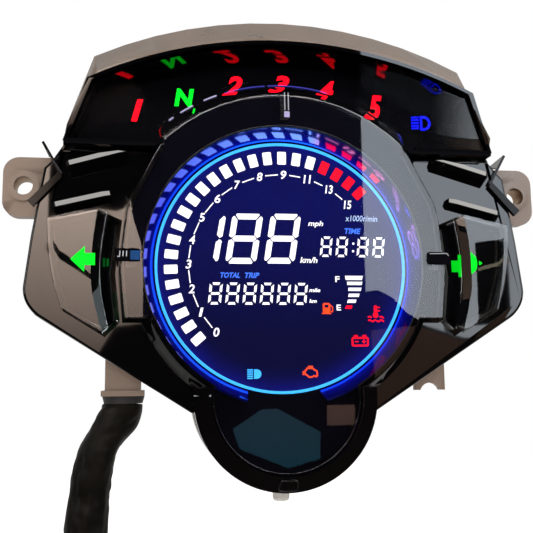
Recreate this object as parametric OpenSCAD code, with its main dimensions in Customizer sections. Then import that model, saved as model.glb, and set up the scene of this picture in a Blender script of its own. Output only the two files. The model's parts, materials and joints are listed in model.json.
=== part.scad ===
// Motorcycle instrument cluster, upright as installed.
// X runs to the right as the rider sees it, Y runs into the dash, Z is up.
// The origin is midway between the two ear holes, on the front face of the ears.
// Depths count towards the rider: a face at depth d lies at Y = -d.

/* [Mounting ears] */
// Distance between the two ear holes
ear_spacing = 208; // [206:1:212]
// Radius of each ear hole
ear_hole_r = 3.75; // [3:0.25:4.5]
// Thickness of each ear
ear_thickness = 5; // [4:0.5:6]

/* [Dial] */
// Height of the dial centre
dial_z = -32.2; // [-32.4:0.1:-32]
// Radius of the dial opening behind the lens
dial_r = 55.8; // [55.6:0.1:56]
// Radius of the display face
face_r = 50.4; // [50:0.1:50.5]
// Depth of the main lens's front face
lens_depth = 18; // [17.5:0.1:18.5]

/* [Lower eye] */
// Height of the lower eye's centre
eye_z = -85; // [-85.4:0.1:-84.6]
// Outer radius of the eye
eye_r = 36.2; // [36:0.1:36.5]
// Radius of the eye's opening
eye_open_r = 28.5; // [28:0.1:29]

/* [Rear case] */
// Wall thickness of the shells
wall = 2.2; // [2:0.1:2.4]
// Distance of the back panel's outer face behind the ears
case_back = 24; // [23.5:0.5:26]
// Height of the hood's crest
hood_top = 70; // [69:0.5:71]

/* [Reset button] */
// Radius of the button cap
button_r = 3.4; // [3:0.1:3.5]
// Travel of the button
button_travel = 1.2; // [0.8:0.1:1.3]

/* [Harness] */
// Outer diameter of the harness sleeve
sleeve_d = 15.6; // [15:0.1:16]
// Width of the plug
plug_w = 27; // [26:0.5:32]
// Thickness of the plug
plug_d = 17; // [16:0.5:20]
// Height of the plug
plug_h = 30; // [26:1:34]

/* [Hidden] */
$fn = 96;

// Colours
case_grey = "#a39c95";
gloss_black = "#101013";
soft_black = "#1f1f22";
smoke = [0.08, 0.07, 0.08, 0.6];
white_plastic = "#e8e8e4";
board_green = "#1f5a36";
steel = "#b8bcc2";

// Front to back: depths of the layers, and the Y of what lies behind the ears
lens_t = 2;
lens_bevel_depth = 13;
lens_foot_depth = 8;
mask_depth = 14;
mask_t = 1.5;
well_back = 4;
floor_t = 2;
base_depth = 10;
plate_t = 2.5;
skirt_back = 1;
glass_back_y = -1.2;
diffuser_back_y = -0.4;
board_y = 8;
board_t = 1.6;
tub_y = 15;
gap = 0.2;

ear_corner_r = 6.4;
ear_ring_h = 1.5;

// Hood and the window under it
hood_r = 171;
hood_half = 80.5;
hood_rear_depth = 10;
hood_lip_depth = 22;
hood_lip = 1.1;
crest_r = 172;
bezel_top = 56.9;
window_top = 55.4;
window_half = 76.2;
window_foot = [85.6, 15.5];
frame_wall = 1;
frame_lap = 0.4;
sill_z = 15;
sill_t = 1.7;
window_foot_depth = 17;
window_crest_depth = 22.5;
legend_depth = 8;

// Arc of the seven gear lamps
gear_arc_r = 144;
gear_arc_top = 43.9;
gear_pitch = 20;
gear_band_h = 19.6;

// Pod around the dial: crest radius, shoulder radius, bevel widths
pod_r = 73.5;
crest_half = 50.5;
waist = [50.5, 14.6];
pod_bevel = 4.5;
shoulder_r = 61;
shoulder_bevel = 3.5;
eye_bevel = 6.5;

// Fastenings
screw_spots = [[83.5, 8], [94, -46.5], [46, -79]];
screw_r = 1.5;
screw_head_r = 3;
board_spots = [[40, 6], [44, -66], [16, -104]];

// Side clips
clip_depth = 12;
clip_lean = 60;

// Turn lamps
signal_depth = 18.5;
arrow_depth = 10;
arrow_z = -30.5;

// Button and switch
button_y = 5.5;
button_tip_z = -126.4;
boss_z = -121.6;
flange_z = -117.6;
switch_low_z = -113;
switch_size = 6.2;

// Harness outlet, and the centre line of the sleeve
outlet_x = -63.7;
outlet_y = 12;
outlet_z = -84;
SLEEVE_ROUTE = [
    [-63.7, 12, -87], [-63.9, 12, -89.5], [-65.4, 12, -92.8], [-68, 12, -96.5], [-70.9, 12, -101],
    [-73.3, 12, -106.5], [-75, 12, -112.5], [-76.2, 12, -119], [-77, 12, -127], [-77.3, 12, -136],
    [-77.2, 12, -148], [-76.6, 12.3, -162], [-75.6, 12.8, -178], [-74.8, 13, -196],
    [-74.4, 13, -215], [-74.4, 12.6, -234], [-74.4, 12.4, -250]
];
sleeve_end = SLEEVE_ROUTE[len(SLEEVE_ROUTE) - 1];

// ---------- shared shapes ----------

// Points on an arc about (cx, cz), from angle a to angle b
function arc(cx, cz, r, a, b, n) =
    [for (i = [0:n]) let (t = a + (b - a) * i / n) [cx + r * cos(t), cz + r * sin(t)]];

// A crest whose highest point is at z = top, drawn from right to left
function crest(r, top, half, n = 24) =
    let (s = asin(half / r)) arc(0, top - r, r, 90 - s, 90 + s, n);

// The same points on the left side, in the opposite order
function flip(points) = [for (i = [len(points) - 1:-1:0]) [-points[i][0], points[i][1]]];

// A closed outline from its right-hand points, listed from the top down
function both_sides(points) = concat(points, flip(points));

// Extrudes an XZ outline between two values of Y
module slab(y0, y1) {
    translate([0, y1, 0]) rotate([90, 0, 0]) linear_extrude(y1 - y0) children();
}

module mirrored() {
    children();
    mirror([1, 0, 0]) children();
}

module dial_disc(r) {
    translate([0, dial_z]) circle(r);
}

module eye_disc(r) {
    translate([0, eye_z]) circle(r);
}

// Dial circle joined with the eye circle
module keyhole(dial, eye) {
    dial_disc(dial);
    eye_disc(eye);
}

// Cylinder along Y from y0 to y1, centred on (x, z)
module bar_y(x, z, y0, y1, r) {
    translate([x, y1, z]) rotate([90, 0, 0]) cylinder(r = r, h = y1 - y0);
}

// Outline of both shells
module shell_outline() {
    flank = [[87.3, 14.5], [92, 8.5], [95, 5.4], [96.4, -3], [99.3, -22], [102, -45], [98, -52], [37, -90.5]];
    polygon(concat(crest(crest_r, bezel_top, 78), flip(reverse_list(flank)), reverse_list(flank)));
    eye_disc(eye_r);
}

function reverse_list(list) = [for (i = [len(list) - 1:-1:0]) list[i]];

// Outline of the hood, which spreads from the window's foot to the crest
module hood_outline(top, half, foot) {
    polygon(concat(crest(hood_r, top, half - 4, 12), [[-foot, 14.2], [foot, 14.2]]));
}

// Plan of the whole rear case
module case_plan() {
    hood_outline(hood_top, hood_half, 87.8);
    shell_outline();
}

// Crest of the pod, above its waist
module pod_crest(r = pod_r) {
    intersection() {
        dial_disc(r);
        translate([-crest_half, waist[1] - 0.01]) square([2 * crest_half, 60]);
    }
}

// Flanks of the pod, from its waist down to the shoulder
module pod_flanks() {
    polygon(both_sides([waist, [62.2, -8], [63.4, -14], [65.6, -36], [63.6, -55.6]]));
}

// Outline of the pod around the dial, without the dial and eye circles
module shield_outline(r = pod_r) {
    pod_crest(r);
    pod_flanks();
}

module pod_outline(inset = 0) {
    offset(delta = -inset) shield_outline();
    keyhole(shoulder_r - inset, eye_r - inset);
}

// Opening of the window under the hood; it stops at the pod
module window_outline(grow = 0, inner_r = pod_r) {
    difference() {
        offset(delta = grow) polygon(concat(crest(crest_r, window_top, window_half),
                                            flip([window_foot]), [window_foot]));
        dial_disc(inner_r - grow);
    }
}

// Solid that leans forward from the window's foot to its crest
module lean(top, half, foot, drop, back) {
    hull() {
        slab(drop - window_crest_depth, back) polygon(crest(crest_r, top, half));
        slab(drop - window_foot_depth, back)
            polygon(concat(crest(crest_r, top, half), flip([foot]), [foot]));
    }
}

module signal_outline() {
    polygon([[73.2, -11.8], [92.3, -16.4], [91.2, -30], [88.7, -43], [86, -51.2], [70.3, -61],
             [64.8, -55.5], [66.9, -36.6], [64.6, -15.5]]);
}

// ---------- shells ----------

module rear_case() {
    color(case_grey) difference() {
        union() {
            difference() {
                case_outside();
                case_inside();
            }
            outlet_box();
            case_towers();
        }
        ear_holes();
        case_bores();
        translate([0, button_y, boss_z - 1]) cylinder(r = button_r + gap, h = 8);
        bar_y(0, 40, 10, case_back + 1, 4);
    }
}

module case_outside() {
    hull() {
        slab(-hood_lip_depth, 1 - hood_lip_depth) hood_outline(bezel_top + hood_lip, 78.2, 87);
        slab(-hood_rear_depth, 1 - hood_rear_depth) hood_outline(hood_top, hood_half, 87.8);
    }
    slab(0.9 - hood_rear_depth, tub_y + wall) hood_outline(hood_top, hood_half, 87.8);
    slab(0, tub_y + wall) shell_outline();
    slab(tub_y, case_back) offset(delta = -5) case_plan();
    mirrored() ear();
    lower_tab();
    translate([0, button_y, boss_z]) cylinder(r = 6, h = 6);
}

module case_inside() {
    slab(-30, 0) offset(delta = gap) shell_outline();
    slab(-0.1, tub_y) offset(delta = -wall) shell_outline();
    slab(2 - hood_rear_depth, tub_y) offset(delta = -wall) hood_outline(hood_top, hood_half, 87.8);
    slab(tub_y - 0.1, case_back - wall) offset(delta = -5 - wall) case_plan();
    translate([outlet_x - 5, 5, -90]) cube([10, 14, 26]);
}

module ear() {
    reach = ear_spacing / 2 + 8.2;
    slab(0, ear_thickness) {
        translate([92, -12.5]) square([reach - ear_corner_r - 92, 24.5]);
        translate([92, ear_corner_r - 12.5]) square([reach - 92, 24.5 - 2 * ear_corner_r]);
        for (z = [ear_corner_r - 12.5, 12 - ear_corner_r]) translate([reach - ear_corner_r, z]) circle(ear_corner_r);
    }
    bar_y(ear_spacing / 2, 0, -ear_ring_h, 1, 6.25);
}

module ear_holes() {
    mirrored() bar_y(ear_spacing / 2, 0, -5, 10, ear_hole_r);
}

// Walls around the harness outlet, open at the bottom and into the case
module outlet_box() {
    difference() {
        union() {
            translate([outlet_x - 7, 3, outlet_z]) cube([14, 18, 17]);
            translate([outlet_x - 8.5, 2, outlet_z]) cube([17, 20, 2.2]);
        }
        translate([outlet_x - 5, 5, outlet_z - 1]) cube([10, 14, 20]);
    }
}

module lower_tab() {
    difference() {
        translate([57.5, 4, -83]) cube([13, 3, 14]);
        bar_y(64, -84.5, 3, 8, 4.5);
    }
}

module case_towers() {
    mirrored() {
        for (p = screw_spots) bar_y(p[0], p[1], 0, case_back, 4.3);
        for (p = board_spots) bar_y(p[0], p[1], board_y + board_t, case_back - 1, 3.4);
    }
}

module case_bores() {
    mirrored() {
        for (p = screw_spots) {
            bar_y(p[0], p[1], -1, case_back + 1, screw_r + gap);
            bar_y(p[0], p[1], case_back - 3.5, case_back + 1, screw_head_r + gap);
        }
        for (p = board_spots) bar_y(p[0], p[1], board_y, board_y + 10.5, 1.3);
    }
}

module case_gasket() {
    color(soft_black) slab(-skirt_back, 0) difference() {
        shell_outline();
        offset(delta = -wall) shell_outline();
    }
}

module case_screws() {
    color(steel) mirrored() for (p = screw_spots) difference() {
        union() {
            bar_y(p[0], p[1], -7, case_back - 3.5, screw_r);
            bar_y(p[0], p[1], case_back - 3.5, case_back - 1.3, screw_head_r);
        }
        for (turn = [0, 90]) translate([p[0], case_back - 1.3, p[1]]) rotate([0, turn, 0])
            cube([3.4, 2.4, 0.8], center = true);
    }
}

module breather() {
    color(soft_black) {
        bar_y(0, 40, case_back - wall, case_back, 3.9);
        bar_y(0, 40, case_back, case_back + 1.2, 5.5);
    }
}

module front_bezel() {
    color(gloss_black) difference() {
        union() {
            slab(-base_depth, -skirt_back) shell_wall();
            slab(-base_depth, plate_t - base_depth) below_window() shell_outline();
            window_frame();
            mirrored() for (p = screw_spots) bar_y(p[0], p[1], plate_t - base_depth - 0.5, -skirt_back, 3.6);
        }
        slab(-30, 0.5) offset(delta = gap) pod_outline();
        mirrored() slab(-30, 5 - base_depth) offset(delta = gap) signal_outline();
        mirrored() for (p = screw_spots) bar_y(p[0], p[1], -7.2, 1, screw_r + 0.02);
    }
}

// Side wall of the front shell; it is thinner where it passes the window
module shell_wall() {
    difference() {
        shell_outline();
        offset(delta = -wall) shell_outline();
        window_outline(frame_lap + 0.1, 60);
    }
}

module below_window() {
    intersection() {
        children();
        translate([-120, -140]) square([240, 140 + sill_z]);
    }
}

// Frame around the window, leaning forward to the hood, with its upper walls
module window_frame() {
    difference() {
        lean(bezel_top, 78, [87.3, 14.5], 0, -skirt_back);
        lean(bezel_top - frame_wall, 78 - frame_wall, [86.9, 13.8], plate_t, 1);
        slab(-30, 0) window_outline();
        slab(-30, 0) dial_disc(pod_r + gap);
    }
    slab(-window_foot_depth, -base_depth) translate([-86.9, sill_z - sill_t]) square([173.8, sill_t]);
}

module main_lens() {
    color(smoke) difference() {
        lens_form(0);
        lens_form(lens_t);
        // the skirt stops short where the gear legend passes behind the crest
        slab(0.5 - lens_bevel_depth, 0) translate([-60, sill_z - sill_t - gap]) square([120, 40]);
    }
}

// Outside of the main lens, or with t its inside
module lens_form(t) {
    front = t - lens_depth;
    foot = t > 0 ? 1 : -lens_foot_depth;
    hull() {
        slab(front, front + 0.1) offset(delta = -1 - t * 0.5) pod_flanks();
        slab(-lens_bevel_depth, foot) offset(delta = -t) pod_flanks();
    }
    hull() {
        slab(front, front + 0.1) offset(delta = -1 - t * 0.5) pod_crest(pod_r - pod_bevel);
        slab(-lens_bevel_depth, foot) offset(delta = -t) pod_crest();
        slab(front, foot) translate([-50, 0]) square([100, 5]);
    }
    cone_y(dial_z, shoulder_r - t, shoulder_bevel, front, foot);
    cone_y(eye_z, eye_r - t, eye_bevel, front, foot);
}

// A disc with a bevelled front edge
module cone_y(z, r, bevel, front, foot) {
    translate([0, -lens_bevel_depth, z]) rotate([90, 0, 0])
        cylinder(r1 = r, r2 = r - bevel, h = -front - lens_bevel_depth);
    bar_y(0, z, -lens_bevel_depth - 0.01, foot, r);
}

module dial_rim() {
    color(gloss_black) slab(-mask_depth - 1, -mask_depth) difference() {
        keyhole(dial_r + 0.7, eye_open_r + 0.9);
        keyhole(dial_r, eye_open_r);
    }
}

// Mask behind the lens, the wall down to the display, and the floor
module dial_well() {
    color(soft_black) {
        slab(-mask_depth, mask_t - mask_depth) difference() {
            union() {
                offset(delta = -2.4) shield_outline(pod_r - 2);
                keyhole(shoulder_r - 3.4, eye_r - 4.4);
            }
            keyhole(dial_r, eye_open_r);
        }
        slab(-mask_depth, -well_back) difference() {
            keyhole(dial_r + 1.7, eye_open_r + 1.7);
            keyhole(dial_r, eye_open_r);
        }
        slab(-well_back - floor_t, -well_back) difference() {
            keyhole(dial_r + 1, eye_open_r + 1);
            dial_disc(face_r + 1.4);
        }
    }
}

module light_ring() {
    color("#2aa8ff") slab(-6.4, -well_back) difference() {
        dial_disc(face_r + 1.35);
        dial_disc(face_r + 0.05);
    }
}

module dial_face() {
    color([0.03, 0.03, 0.12]) slab(-5.6, -well_back) dial_disc(face_r);
}

// ---------- display stack ----------

module octagon(half) {
    translate([0, dial_z]) rotate(22.5) circle(half / cos(22.5), $fn = 8);
}

module lcd_glass() {
    color([0.1, 0.12, 0.2, 0.9]) slab(-well_back, glass_back_y) octagon(51);
}

module lcd_pins() {
    color(steel) for (row = [-49.6, 49.6], i = [-11:11])
        translate([i * 2.54 - 0.3, glass_back_y, dial_z + row - 0.3]) cube([0.6, board_y - glass_back_y, 0.6]);
}

module diffuser() {
    color("white") slab(glass_back_y, diffuser_back_y) octagon(48);
}

module backlight_box() {
    color(white_plastic) slab(diffuser_back_y, board_y) difference() {
        octagon(48);
        difference() {
            octagon(46);
            for (x = [-16, 16]) translate([x - 0.6, dial_z - 60]) square([1.2, 120]);
            for (z = [-16, 16]) translate([-60, dial_z + z - 0.6]) square([120, 1.2]);
        }
    }
}

module dial_leds() {
    color("white") for (x = [-32, 0, 32], z = [-32, 0, 32])
        translate([x * 0.9 - 1.75, board_y - 1.4, dial_z + z * 0.9 - 1.4]) cube([3.5, 1.4, 2.8]);
}

module main_board() {
    color(board_green) difference() {
        slab(board_y, board_y + board_t) {
            dial_disc(60);
            translate([-20, -111]) square([40, 30]);
            translate([-71, -62]) square([30, 20]);
        }
        mirrored() for (p = board_spots) bar_y(p[0], p[1], board_y - 1, board_y + 3, 1.7);
    }
}

module board_chips() {
    color(soft_black) {
        translate([-7, board_y + board_t, dial_z - 7]) cube([14, 1.6, 14]);
        translate([18, board_y + board_t, dial_z + 4]) cube([5, 1.5, 6]);
        translate([-30, board_y + board_t, dial_z - 24]) cube([9, 1.6, 6]);
    }
}

module board_capacitors() {
    color("#3a3f46") for (x = [-38, -26]) bar_y(x, -4, board_y + board_t, board_y + 11, 4);
}

module buzzer() {
    color(soft_black) difference() {
        bar_y(30, -52, board_y + board_t, board_y + 10, 6);
        bar_y(30, -52, board_y + 8, board_y + 11, 1.2);
    }
}

module board_screws() {
    color(steel) mirrored() for (p = board_spots) {
        bar_y(p[0], p[1], board_y - 2, board_y, 2.8);
        bar_y(p[0], p[1], board_y - 0.1, board_y + 9, 1.28);
    }
}

module board_header() {
    color(white_plastic) translate([-70, board_y + board_t, -61]) cube([13, 7, 9]);
}

// ---------- gear window ----------

module gear_lens() {
    color(smoke) difference() {
        lean(window_top + frame_lap, window_half + frame_lap, window_foot + [frame_lap, -frame_lap],
             plate_t + 0.05, -1);
        lean(window_top + 4, window_half + 4, window_foot + [4, -4], plate_t + 1.65, 1);
        slab(-30, 1) dial_disc(pod_r + gap);
    }
}

// Side walls and ceiling of the space behind the window
module gear_surround() {
    color(gloss_black) intersection() {
        slab(-25, -legend_depth) difference() {
            window_outline(frame_lap);
            window_outline(-1.2, pod_r - 20);
        }
        lean(window_top + 4, window_half + 4, window_foot + [4, -4], plate_t + 1.7, 1);
        slab(-25, -legend_depth) difference() {
            translate([-100, 0]) square([200, 80]);
            dial_disc(pod_r + gap);
        }
    }
}

module gear_legend() {
    color(soft_black) slab(-legend_depth, 1 - legend_depth) window_outline(frame_lap, 65);
}

// Places of the seven gear lamps, on their arc
function gear_spots() = [for (i = [-3:3]) let (x = i * gear_pitch)
    [x, gear_arc_top - gear_arc_r + sqrt(pow(gear_arc_r, 2) - x * x)]];

module gear_light_box() {
    color(white_plastic) slab(1 - legend_depth, -2) difference() {
        gear_band();
        for (p = gear_spots()) translate(p) square([12, 12], center = true);
    }
}

module gear_band() {
    polygon(concat(crest(gear_arc_r, gear_arc_top + gear_band_h / 2, 66),
                   reverse_list(crest(gear_arc_r, gear_arc_top - gear_band_h / 2, 66))));
}

module gear_board() {
    color(board_green) slab(-2, board_t - 2) gear_band();
}

module gear_leds() {
    color("white") for (p = gear_spots()) translate([p[0] - 1.6, -3.8, p[1] - 1.4]) cube([3.2, 1.8, 2.8]);
}

// ---------- turn lamps ----------

module signal_lens() {
    color(smoke) difference() {
        union() {
            slab(-signal_depth, -5.5) signal_outline();
            slab(-7, -5.5) offset(delta = 1.2) signal_outline();
        }
        slab(lens_t - signal_depth, 0) offset(delta = -lens_t) signal_outline();
    }
}

module arrow_plate() {
    color(soft_black) slab(-arrow_depth, 1 - arrow_depth) offset(delta = -lens_t - 0.1) signal_outline();
}

module signal_box() {
    color(white_plastic) slab(1 - arrow_depth, -3) difference() {
        offset(delta = -lens_t - 0.1) signal_outline();
        translate([79, arrow_z]) square([16, 16], center = true);
    }
}

module signal_board() {
    color(board_green) slab(-3, board_t - 3) offset(delta = -lens_t - 0.1) signal_outline();
}

module signal_leds() {
    color("white") mirrored() for (z = [-3.5, 3.5])
        translate([77.5, -4.6, arrow_z + z - 1.4]) cube([3.2, 1.6, 2.8]);
}

// ---------- trim on the front ----------

// A louvre fin between two points on the bezel, with chamfered ends
module fin(inner, outer, height, depth) {
    along = outer - inner;
    length = norm(along);
    translate([inner[0], 0, inner[1]]) rotate([0, atan2(-along[1], along[0]), 0]) hull() {
        translate([0, -base_depth - 0.2, -height]) cube([length, 0.2, height]);
        translate([3, -depth, -2.2]) cube([length - 4, 0.2, 2.2]);
        translate([0, 0.6 - depth, -2.2]) cube([length, 0.2, 2]);
    }
}

module fin_upper() {
    color(gloss_black) fin([63.5, 13.2], [86, 6.6], 5.8, 16.5);
}

module fin_lower() {
    color(gloss_black) fin([69.4, -4], [91, -9.4], 4.6, 14.5);
}

// Bent clip: a bar across the bezel's edge, and a thin blade that stands up beside the shells
module side_clip() {
    color(soft_black) {
        slab(-clip_depth, -base_depth) polygon([[87.6, 1.4], [89, 3.4], [100.6, -8.6], [98.4, -10.8]]);
        translate([88, 0, 2.4]) rotate([0, -clip_lean, 0]) translate([0, 0, -0.5]) linear_extrude(1)
            polygon([[0, -base_depth], [0, -clip_depth], [15, 0.8 - clip_depth], [12.6, 3], [8.8, -base_depth]]);
    }
}

// Ribbed pin lying on the mask, pointing at the dial centre
module index_pin(angle, width, r0, r1) {
    color(soft_black) translate([0, 0, dial_z]) rotate([0, -angle, 0]) {
        translate([r0, 0.7 - lens_depth + lens_t, -width / 2]) cube([r1 - r0, 1.3, width]);
        for (i = [0:3]) translate([r0 + 1 + i * (r1 - r0 - 2.6) / 3, lens_t - lens_depth, -width / 2])
            cube([0.6, 1.5, width]);
    }
}

// ---------- reset button ----------

module reset_button() {
    color("#c9c7c2") {
        translate([0, button_y, button_tip_z]) cylinder(r1 = button_r - 0.6, r2 = button_r, h = 1);
        translate([0, button_y, button_tip_z + 1]) cylinder(r = button_r, h = flange_z - button_tip_z - 1);
        translate([0, button_y, flange_z - 0.01]) cylinder(r = button_r + 1.4, h = 1);
    }
}

module switch_plunger() {
    color(soft_black) translate([0, button_y, flange_z + 0.99])
        cylinder(r = 1.5, h = switch_low_z - flange_z);
}

module reset_switch() {
    color(steel) difference() {
        translate([-switch_size / 2, button_y - 2.5, switch_low_z]) cube([switch_size, 5, switch_size]);
        translate([0, button_y, switch_low_z - 1]) cylinder(r = 1.6, h = 2.4 + button_travel);
    }
}

module button_boot() {
    color(soft_black) translate([0, button_y, boss_z - 1]) difference() {
        cylinder(r1 = 5, r2 = 5.8, h = 1);
        translate([0, 0, -1]) cylinder(r = button_r + gap, h = 3);
    }
}

// ---------- harness ----------

module inner_leads() {
    color(soft_black) for (i = [0:3])
        translate([outlet_x - 3.9 + i * 2.6, 12, outlet_z + 3]) cylinder(r = 0.9, h = -61 - outlet_z - 3);
}

module outlet_grommet() {
    color(soft_black) {
        translate([outlet_x - 4.9, 5.1, outlet_z]) cube([9.8, 13.8, 3]);
        translate([outlet_x, outlet_y, outlet_z - 3]) cylinder(r1 = sleeve_d / 2, r2 = 8.6, h = 3);
    }
}

// Cross product helpers for the swept sleeve
function unit(v) = v / norm(v);

function heading(path, i) =
    unit(path[min(i + 1, len(path) - 1)] - path[max(i - 1, 0)]);

// Ring of points round a path point, square to the path
function ring(centre, along, r, sides) =
    let (side = unit(cross(along, [0, 1, 0])), up = cross(side, along))
        [for (k = [0:sides - 1]) let (t = 360 * k / sides) centre + r * (cos(t) * side + sin(t) * up)];

module sweep(path, r, sides) {
    n = len(path);
    points = [for (i = [0:n - 1]) each ring(path[i], i == 0 || i == n - 1 ? [0, 0, -1] : heading(path, i), r, sides)];
    walls = [for (i = [0:n - 2], k = [0:sides - 1])
        [i * sides + k, i * sides + (k + 1) % sides, (i + 1) * sides + (k + 1) % sides, (i + 1) * sides + k]];
    first = [for (k = [sides - 1:-1:0]) k];
    last = [for (k = [0:sides - 1]) (n - 1) * sides + k];
    polyhedron(points, concat(walls, [first, last]));
}

module harness_sleeve() {
    color(soft_black) sweep(SLEEVE_ROUTE, sleeve_d / 2, 12);
}

module plug_housing() {
    color(white_plastic) translate(sleeve_end + [0, 0, -plug_h]) difference() {
        translate([-plug_w / 2, -plug_d / 2, 0]) cube([plug_w, plug_d, plug_h]);
        translate([-plug_w / 2 + 1.6, -plug_d / 2 + 1.6, -1]) cube([plug_w - 3.2, plug_d - 3.2, 19]);
    }
}

module plug_terminals() {
    color("#c8a24a") translate(sleeve_end + [0, 0, -plug_h + 2])
        for (x = [-10, -5, 0, 5, 10], y = [-3.5, 3.5]) translate([x - 0.9, y - 0.4, 0]) cube([1.8, 0.8, 16]);
}

module plug_lock() {
    color(white_plastic) translate(sleeve_end + [0, -plug_d / 2, -plug_h]) {
        translate([-4, -2.2, 4]) cube([8, 0.9, 20]);
        translate([-4, -1.4, 20]) cube([8, 1.4, 4]);
    }
}

// ---------- what is drawn ----------

rear_case();
case_gasket();
case_screws();
breather();
front_bezel();
main_lens();
dial_rim();
dial_well();
light_ring();
dial_face();
lcd_glass();
lcd_pins();
diffuser();
backlight_box();
dial_leds();
main_board();
board_chips();
board_capacitors();
buzzer();
board_screws();
board_header();
gear_lens();
gear_surround();
gear_legend();
gear_light_box();
gear_board();
gear_leds();
mirror([1, 0, 0]) signal_lens();  // signal_lens_left
signal_lens();  // signal_lens_right
mirror([1, 0, 0]) arrow_plate();  // arrow_plate_left
arrow_plate();  // arrow_plate_right
mirror([1, 0, 0]) signal_box();  // signal_box_left
signal_box();  // signal_box_right
mirror([1, 0, 0]) signal_board();  // signal_board_left
signal_board();  // signal_board_right
signal_leds();
mirror([1, 0, 0]) fin_upper();  // fin_upper_left
fin_upper();  // fin_upper_right
mirror([1, 0, 0]) fin_lower();  // fin_lower_left
fin_lower();  // fin_lower_right
mirror([1, 0, 0]) side_clip();  // side_clip_left
side_clip();  // side_clip_right
index_pin(180, 5.4, 58.4, 62.6);  // index_pin_left
index_pin(0, 5.4, 58.4, 62.6);  // index_pin_right
index_pin(90, 3.2, 58.4, 67.5);  // index_pin_top
reset_button();
switch_plunger();
reset_switch();
button_boot();
inner_leads();
outlet_grommet();
harness_sleeve();
plug_housing();
plug_terminals();
plug_lock();
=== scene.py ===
"""Looks of the motorcycle instrument cluster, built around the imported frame.

Lengths are in millimetres until a mesh is made. A point is (x, depth, z): depth counts towards the rider,
so a point at depth d lies at Y = -d in the row frame.
"""
import json
import math

import bmesh
import bpy
from mathutils import Matrix, Vector, noise


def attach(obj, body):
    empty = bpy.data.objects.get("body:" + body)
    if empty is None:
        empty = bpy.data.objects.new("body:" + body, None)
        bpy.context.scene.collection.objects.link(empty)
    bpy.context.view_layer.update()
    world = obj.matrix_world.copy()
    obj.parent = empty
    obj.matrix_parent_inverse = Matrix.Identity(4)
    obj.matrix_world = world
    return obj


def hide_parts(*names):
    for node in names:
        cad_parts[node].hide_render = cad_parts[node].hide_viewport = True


MM = 0.001
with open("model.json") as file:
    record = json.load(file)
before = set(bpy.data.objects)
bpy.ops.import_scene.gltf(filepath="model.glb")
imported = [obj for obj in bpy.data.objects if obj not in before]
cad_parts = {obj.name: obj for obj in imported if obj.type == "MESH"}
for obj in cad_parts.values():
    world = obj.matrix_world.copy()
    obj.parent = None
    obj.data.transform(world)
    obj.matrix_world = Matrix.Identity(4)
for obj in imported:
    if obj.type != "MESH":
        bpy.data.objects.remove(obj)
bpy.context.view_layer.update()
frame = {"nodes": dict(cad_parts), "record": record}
nodes = frame["nodes"]
scene = bpy.context.scene
SLOT_OF = {part["node"]: part["material_slot"] for part in frame["record"]["subparts"]}


# ---------- driving places, in millimetres ----------

SIDES = ((-1, "left"), (1, "right"))
CAMERA_AT = (-50.63, 318.17, -77.97)
CAMERA_TURN = (8.03, -8.19, 0.60)  # yaw, pitch and roll in degrees
CAMERA_LENS = 53.0

DIAL_Z = -32.2  # centre of the dial
EYE_Z = -85.0  # centre of the round lower eye
FACE_DEPTH = 5.6  # just in front of the display's glass
LEGEND_DEPTH = 8.0  # just in front of the gear legend plate
CREST_DEPTH = 13.1  # just in front of the pod's crest
MARK_T = 0.12  # thickness of a lit mark
WELD = 0.002  # points closer than this are one

FUNNEL_R = 55.8  # wall round the display
NECK_HALF = 15.5  # half the width of its opening towards the eye
FIN_TOPS = {"upper": ((63.5, 13.2), (86, 6.6)), "lower": ((69.4, -4), (91, -9.4))}
FIN_LEAN = 0.95
FIN_BAND = 1.2  # the part below the top that leans back
LIP_FOOT, LIP_TOP = 12.0, 18.0  # matt lip under the gear window

SIGNAL_FACE, SIGNAL_FOOT, SIGNAL_BACK = 18.5, 8.4, 7.0
SIGNAL_OUTER = [(92.2, -16.4), (91.4, -29), (89.2, -41), (86.0, -51.3)]
SIGNAL_CREASE = [(73.2, -11.9), (75.0, -27), (75.0, -43), (70.6, -60.7)]
SIGNAL_INNER = [(64.7, -15.4), (66.8, -28), (67.0, -41), (64.9, -55.6)]
ARROW_Z = -32.2
ARROW_DEPTH = 10.1  # just in front of the arrow plates

SLEEVE_R = 7.8
SLEEVE_ROUTE = [
    (-63.7, 12, -87), (-63.9, 12, -89.5), (-65.4, 12, -92.8), (-68, 12, -96.5), (-70.9, 12, -101),
    (-73.3, 12, -106.5), (-75, 12, -112.5), (-76.2, 12, -119), (-77, 12, -127), (-77.3, 12, -136),
    (-77.2, 12, -148), (-76.6, 12.3, -162), (-75.6, 12.8, -178), (-74.8, 13, -196),
    (-74.4, 13, -215), (-74.4, 12.6, -234), (-74.4, 12.4, -250),
]
SLEEVE_PINCHES = ((38, 5.0, 0.09), (96, 6.0, 0.07))  # run, half width and how much of the radius goes


def place(x, depth, z):
    return Vector((x * MM, -depth * MM, z * MM))


def around(x, z, r, angle):
    """The (x, z) point at radius r and angle, in degrees, about a centre."""
    return (x + r * math.cos(math.radians(angle)), z + r * math.sin(math.radians(angle)))


def curve_point(a, b, c, d, t):
    """The point at share t between b and c, on a smooth curve through all four."""
    return 0.5 * (2 * b + (c - a) * t + (2 * a - 5 * b + 4 * c - d) * t ** 2
                  + (3 * b - a - 3 * c + d) * t ** 3)


# ---------- camera ----------

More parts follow.
